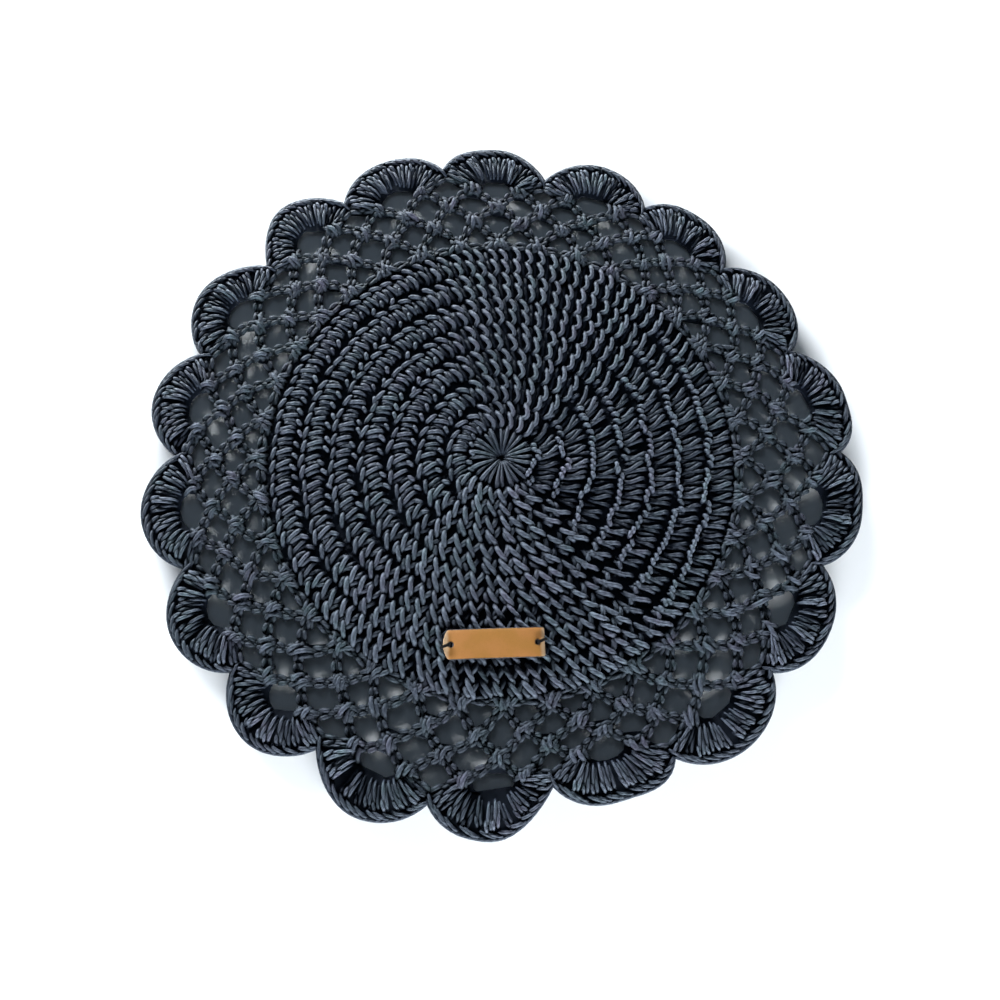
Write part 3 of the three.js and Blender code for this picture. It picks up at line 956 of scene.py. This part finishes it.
# %% [markdown]
# The edge is worked over the tops of the shells' stitches. From above it shows a braid of slanted
# strands, one to a stitch, with a smooth cord along its outer side. One thick tube round the mat
# would give the outline, but not the braid, so both are laid: the cord runs over each tip and dips
# into each notch, and a second one runs under the braid and closes it from below.

# %% Work the corded edge
# The slanted strands: share of a stitch along the edge, share of the edge's width outwards, height
EDGE_STRAND = [
    (-0.4, 0.10, 1.9), (-0.2, 0.22, 3.9), (0.2, 0.38, 4.5),
    (0.7, 0.54, 4.2), (1.1, 0.68, 3.2), (1.4, 0.76, 1.9),
]
# How far they stray: a share of a stitch along, millimetres up, a share of the thickness
EDGE_STRAY = {"along": 0.18, "lift": 0.2, "full": 0.06}
EDGE_FULL = 0.66  # share of the cord's thickness
# The cords that run along the edge: share of its width, height, thickness of the cord
EDGE_CORDS = [(0.80, 2.6, 0.9), (0.52, 1.7, 1.0)]
EDGE_STEPS = 12
EDGE_OVERLAP = 0.2  # how many of those steps the cord of one shell runs on past each notch


def edge_place(line, share, outwards, height):
    """A place in the edge of a shell, between its inner side and its outer one."""
    x, y = (a + (b - a) * outwards for a, b in zip(edge_foot(share), outline(share)))
    return beside(line, x, y, height)


def work_edge(line):
    """The slanted strands of one shell's edge, and the cords that run along it."""
    strands = []
    for post in range(POSTS):
        lean, lift, more = (loose.gauss(0, spread) for spread in EDGE_STRAY.values())
        strand = []
        for along, out, z in EDGE_STRAND:
            place = edge_place(line, (post + along + lean) / POSTS, out, z + lift)
            strand.append((place, EDGE_FULL + more))
        strands.append(strand)
    for out, height, share in EDGE_CORDS:
        strand = []
        for step in range(EDGE_STEPS + 1):
            along = (step - EDGE_OVERLAP) / (EDGE_STEPS - 2 * EDGE_OVERLAP)
            strand.append((edge_place(line, along, out, height), share))
        strands.append(strand)
    return strands


edge_strands = [strand for k in range(len(SHELLS)) for strand in work_edge(k * SHELL_STEP)]
dress(lay_strands("corded_edge", edge_strands, CORD), satin_cord, "cord", "mat")

# %% [markdown]
# Between the strands of a real mat one sees more cord, never the table, except in the net's gaps.
# More strands would fill those places too, but at many times the faces. So a thin dark sheet low
# in the mat stands for them. It is the CAD solid's own underside, drawn in a little from every
# edge so that the strands hide it.

# %% Lay the ground between the stitches
GROUND = {"inset": 1.5 * MM, "height": 2.0 * MM, "thickness": 0.8 * MM}
FACES_DOWN = -0.9  # a face of the underside has a normal whose Z is less than that


def lay_ground(inset, height, thickness):
    bpy.ops.object.select_all(action="DESELECT")
    ground = bpy.data.objects.new("ground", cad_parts["mat"].data.copy())
    bpy.context.scene.collection.objects.link(ground)
    ground.select_set(True)
    bpy.context.view_layer.objects.active = ground
    bpy.ops.object.mode_set(mode="EDIT")
    bpy.ops.mesh.select_mode(type="FACE")
    bpy.ops.mesh.select_all(action="SELECT")
    bpy.ops.mesh.remove_doubles(threshold=WELD)
    bpy.ops.object.mode_set(mode="OBJECT")
    for face in ground.data.polygons:
        face.select = face.normal.z > FACES_DOWN
    bpy.ops.object.mode_set(mode="EDIT")
    bpy.ops.mesh.delete(type="FACE")
    # The inset leaves its inner faces selected, so the rim that it made goes
    bpy.ops.mesh.select_all(action="SELECT")
    bpy.ops.mesh.inset(thickness=inset, use_boundary=True)
    bpy.ops.mesh.select_all(action="INVERT")
    bpy.ops.mesh.delete(type="FACE")
    bpy.ops.mesh.select_all(action="SELECT")
    bpy.ops.transform.translate(value=(0, 0, height))
    bpy.ops.object.mode_set(mode="OBJECT")
    solid = ground.modifiers.new("thickness", "SOLIDIFY")
    solid.thickness = thickness
    solid.offset = 0
    bpy.ops.object.modifier_apply(modifier=solid.name)
    return ground


ground = lay_ground(**GROUND)
print("ground faces", len(ground.data.polygons))
dress(ground, satin_cord, "cord", "mat")

# %% [markdown]
# The tab is thick tan leather, waxed on top, pale where its ends have worn, and dark along the
# burnished rims and in the burnt holes. A photograph of a hide would give the colour, but noise of
# three sizes does as well, for patches of dye, pores and creases. The ends, rims, walls and holes
# are picked out by their places along the tab, across it and up.

# %% Tan the leather
TAB = {"length": 50.0, "width": 15.0, "thickness": 1.6, "corner": 1.5, "turn": 6.5, "x": 4.5, "y": -99.0}
HOLE = {"radius": 1.3, "from_end": 3.6}
HOLE_DRAWN = 0.8  # how far the left hole is drawn out with the blunt end, in millimetres
TAB_HEIGHT = 6.3  # of the tab's underside, just over the crests of the stitches, in millimetres
TAN = {
    "ochre": (0.240, 0.104, 0.018, 1),
    "rose": (0.270, 0.112, 0.026, 1),
    "worn": (0.33, 0.215, 0.12, 1),
    "burnt": (0.007, 0.0025, 0.0015, 1),
}
# Where each finish begins to give way and where it has given way, in millimetres
WORN_END = (0.4, 2.6)  # from the end of the tab
BURNISHED_RIM = (0.2, 0.5)  # from its side
BURNT_WALL = (0.7, 1.2)  # up from its underside
BURNT_HOLE = (1.2, 2.0)  # from the middle of a hole
HIDE, PORES, GRAIN = 90.0, 1700.0, 900.0  # patches, pores and creases to a metre


def along_the_tab(place):
    """Places along and across the tab, in millimetres from its middle, as sockets."""
    turn = math.radians(TAB["turn"])
    x = place.part("X") / MM - TAB["x"]
    y = place.part("Y") / MM - TAB["y"]
    return x * math.cos(turn) + y * math.sin(turn), y * math.cos(turn) - x * math.sin(turn)


def tan_leather():
    finish, nodes, shader = new_finish("tan_leather", Specular_IOR_Level=0.35)
    place = nodes.node("ShaderNodeTexCoord", {}, {}, "Object")
    along, across = along_the_tab(place)
    patch = place.noise(HIDE, detail=3.0)
    fine = place.noise(GRAIN, detail=4.0)
    grain = nodes.node("ShaderNodeTexVoronoi", {}, {"Vector": place, "Scale": PORES})
    dyed = patch.between(0.4, 0.6).mix(TAN["ochre"], TAN["rose"])
    from_end = TAB["length"] / 2 - along.unsigned() + patch.span(-1.5, 1.5)
    made_paler = from_end.between(*WORN_END).mix(TAN["worn"], dyed)
    shade = (fine * 0.4 + grain).between(0.1, 0.6).span(0.76, 1.04)
    grained = made_paler.tinted(nodes.node("ShaderNodeCombineXYZ", {}, {axis: shade for axis in "XYZ"}))
    up = place.part("Z") / MM - TAB_HEIGHT
    walls = up.between(*BURNT_WALL).mix(TAN["burnt"], grained)
    from_side = TAB["width"] / 2 - across.unsigned() + fine.span(-0.25, 0.25)
    rims = from_side.between(*BURNISHED_RIM).mix(TAN["burnt"], walls)
    hole_middle = TAB["length"] / 2 - HOLE["from_end"] + HOLE_DRAWN / 2
    beside_hole = (along + HOLE_DRAWN / 2).unsigned() - hole_middle
    from_hole = (beside_hole * beside_hole + across * across).root()
    colour = from_hole.between(*BURNT_HOLE).mix(TAN["burnt"], rims)
    bumps = (fine + grain).relief(strength=0.25, depth=0.1)
    feed(nodes, shader, Base_Color=colour, Roughness=fine.span(0.42, 0.67), Normal=bumps)
    return finish


leather = tan_leather()
print("finish:", leather.name)

# %% [markdown]
# The tab starts as a box. Its upright corners are rounded, two holes are punched, and its rims are
# bevelled. A plate with its holes drawn in could be extruded instead, but punching is how a maker
# does it. All of it happens in the tab's own millimetres, flat and unturned.

# %% Cut the leather tab
CORNER_STEPS = 5
PUNCH = {"vertices": 24, "radius": HOLE["radius"], "depth": 8}
RIM = {"width": 0.32, "segments": 3, "sharper_than": 50}  # millimetres, and degrees


def sized_primitive(name, add, settings, size, place):
    """A primitive, sized and placed in its own mesh, in millimetres."""
    bpy.ops.object.select_all(action="DESELECT")
    add(**settings)
    piece = bpy.context.object
    piece.name = name
    bpy.ops.object.mode_set(mode="EDIT")
    bpy.ops.mesh.select_all(action="SELECT")
    bpy.ops.transform.resize(value=size)
    bpy.ops.transform.translate(value=place)
    bpy.ops.object.mode_set(mode="OBJECT")
    return piece


def round_corners(tab):
    """Bevels the upright edges, once nothing else is selected."""
    bpy.ops.object.mode_set(mode="EDIT")
    bpy.ops.mesh.select_mode(type="EDGE")
    bpy.ops.mesh.select_all(action="DESELECT")
    bpy.ops.object.mode_set(mode="OBJECT")
    for edge in tab.data.edges:
        ends = [tab.data.vertices[k].co for k in edge.vertices]
        edge.select = abs(ends[0].z - ends[1].z) > TAB["thickness"] / 2
    bpy.ops.object.mode_set(mode="EDIT")
    bpy.ops.mesh.bevel(offset=TAB["corner"], segments=CORNER_STEPS)
    bpy.ops.object.mode_set(mode="OBJECT")


def punch_hole(tab, along):
    add = bpy.ops.mesh.primitive_cylinder_add
    punch = sized_primitive("punch", add, PUNCH, (1, 1, 1), (along, 0, 0))
    bpy.ops.object.select_all(action="DESELECT")
    tab.select_set(True)
    bpy.context.view_layer.objects.active = tab
    cut = tab.modifiers.new("hole", "BOOLEAN")
    cut.object = punch
    bpy.ops.object.modifier_apply(modifier=cut.name)
    bpy.data.objects.remove(punch)


def cut_tab():
    size = (TAB["length"], TAB["width"], TAB["thickness"])
    add = bpy.ops.mesh.primitive_cube_add
    tab = sized_primitive("leather_tab", add, {"size": 1}, size, (0, 0, TAB["thickness"] / 2))
    tab.data.name = "leather_tab"
    round_corners(tab)
    for side in (-1, 1):
        punch_hole(tab, side * (TAB["length"] / 2 - HOLE["from_end"]))
    rim = tab.modifiers.new("rim", "BEVEL")
    rim.width = RIM["width"]
    rim.segments = RIM["segments"]
    rim.angle_limit = math.radians(RIM["sharper_than"])
    bpy.ops.object.modifier_apply(modifier=rim.name)
    return tab


tab = cut_tab()
print("flat tab faces", len(tab.data.polygons))

# %% [markdown]
# The threads pull the tab's ends down, its middle rides on the stitches, and its left end was cut
# to a blunt point. Only a mesh with cuts all over can bend, so the flat tab is first cut across
# every few millimetres. A modifier could bend it too, but a formula says where each point goes,
# and the threads can ask it where the leather is.

# %% Bend the tab and lay it on
CUTS = {"along": 24, "across": 6}
OFF_MIDDLE = 0.011  # millimetres by which the cuts miss the edges that are there already
END_FROM = 0.62  # share of the half length at which the ends begin
BOW, RIPPLE = 0.45, 0.12  # rise of the middle and of the ripples over it, in millimetres
RIPPLE_ALONG, RIPPLE_ACROSS = 5, 6  # millimetres to a radian
# How far the blunt point stands out, how far its corners are cut back from that, and how roundly
POINT = {"out": 1.2, "back": 2.3, "roundness": 1.6}
PRESSED, SUNK = 0.25, 0.1  # share of the thickness lost at the ends, and millimetres down
SMOOTH_BELOW = math.radians(35)


def bent(x, y, z):
    """Where a point of the flat tab goes when its ends are pulled down."""
    end = ease(abs(x), END_FROM * TAB["length"] / 2, TAB["length"] / 2)
    ripple = RIPPLE * math.sin(x / RIPPLE_ALONG + y / RIPPLE_ACROSS)
    bow = BOW * (1 - (2 * x / TAB["length"]) ** 2) + ripple
    if x < 0:
        side = abs(2 * y / TAB["width"])
        x += end * (POINT["back"] * side ** POINT["roundness"] - POINT["out"])
    return x, y, z * (1 - PRESSED * end) + bow - SUNK * end


def tab_place(x, y, z):
    """From the tab's own millimetres to its place on the mat."""
    turn = math.radians(TAB["turn"])
    return Vector((
        TAB["x"] + x * math.cos(turn) - y * math.sin(turn),
        TAB["y"] + x * math.sin(turn) + y * math.cos(turn),
        TAB_HEIGHT + z,
    )) * MM


def cut_across(count, size, axis):
    for k in range(1, count):
        bpy.ops.mesh.select_all(action="SELECT")
        start = Vector(axis) * (size * (k / count - 0.5) + OFF_MIDDLE)
        bpy.ops.mesh.bisect(plane_co=start, plane_no=axis)


bpy.ops.object.mode_set(mode="EDIT")
cut_across(CUTS["along"], TAB["length"], (1, 0, 0))
cut_across(CUTS["across"], TAB["width"], (0, 1, 0))
bpy.ops.object.mode_set(mode="OBJECT")
for vertex in tab.data.vertices:
    vertex.co = tab_place(*bent(*vertex.co))
bpy.ops.object.shade_smooth_by_angle(angle=SMOOTH_BELOW)
dress(tab, leather, "leather", "tab")
print("bent tab faces", len(tab.data.polygons))

# %% [markdown]
# Each end is held by one stitch of dark waxed thread, up through the hole and down over the end
# into the crochet. The thread runs through three times, side by side, and is drawn tight, so its
# strands draw together outside the tab. A torus through each hole would be quicker, but it would
# look like a ring, where a drawn stitch slants and lies flat on the leather.

# %% Wax the thread
THREAD = 0.8  # thickness of the waxed thread, in millimetres
THREAD_BLACK = (0.0014, 0.0012, 0.0012, 1)
THREAD_SHEEN = (0.0045, 0.0038, 0.0036, 1)
TURNS_ALONG, PLIES_ACROSS = 2, 16  # turns of its twist to a centimetre, and its filaments


def wax_thread():
    finish, nodes, shader = new_finish("waxed_thread", Specular_IOR_Level=0.08)
    strand = nodes.node("ShaderNodeUVMap", {"uv_map": STRAND_MAP}, {})
    turns = strand.part("X") * TURNS_ALONG + strand.part("Y") * PLIES_ACROSS
    twist = (turns * (2 * math.pi)).sine()
    colour = twist.between(-1, 1).mix(THREAD_BLACK, THREAD_SHEEN)
    bumps = twist.relief(strength=0.4, depth=0.1)
    feed(nodes, shader, Base_Color=colour, Roughness=twist.span(0.85, 0.93), Normal=bumps)
    return finish


dark_thread = wax_thread()
print("finish:", dark_thread.name)

# %% [markdown]
# The stitch is charted once, in the tab's own millimetres, from the tab's middle towards an end.
# It could be drawn at each end by itself, but one chart serves both: it is mirrored for the left
# end, and each slants its own way, as stitches sewn by hand do.

# %% Sew the tab on
# Along the tab from its middle, across it, and up from its underside
STITCH = [
    (21.6, 0.0, -0.6), (21.5, 0.0, 1.2), (21.9, 0.0, 2.1), (23.4, 0.1, 2.2), (25.0, 0.2, 1.9),
    (26.0, 0.3, 0.9), (26.1, 0.3, -0.8),
]
STITCH_FROM, STITCH_TO = 21.5, 26
# The node of each thread: which end it holds, and its slant
THREADS = {"tab_thread_left": (-1, -0.35), "tab_thread_right": (1, 0.3)}
REACH = 4  # millimetres to the side at the outer end, for a slant of 1
STRANDS_ASIDE = (-0.5, 0.0, 0.5)  # millimetres from the middle of the stitch
DRAWN_IN = 0.4  # share of that by which they come closer at the outer end


def sew_strand(end, slant, aside):
    strand = []
    for x, y, z in STITCH:
        out = ease(x, STITCH_FROM, STITCH_TO)
        on_tab = min(x, TAB["length"] / 2)
        drawn, _, bow = bent(end * on_tab, 0, 0)
        side = slant * out * REACH + y + aside * (1 - DRAWN_IN * out)
        strand.append((tab_place(drawn + end * (x - on_tab), side, z + bow), 1.0))
    return strand


for node, (end, slant) in THREADS.items():
    strands = [sew_strand(end, slant, aside) for aside in STRANDS_ASIDE]
    stitch = lay_strands(f"{node}_stitch", strands, THREAD, fineness=2, steps=3)
    dress(stitch, dark_thread, "thread", node)

# %% [markdown] Every piece of the mat is now dressed over its frame.
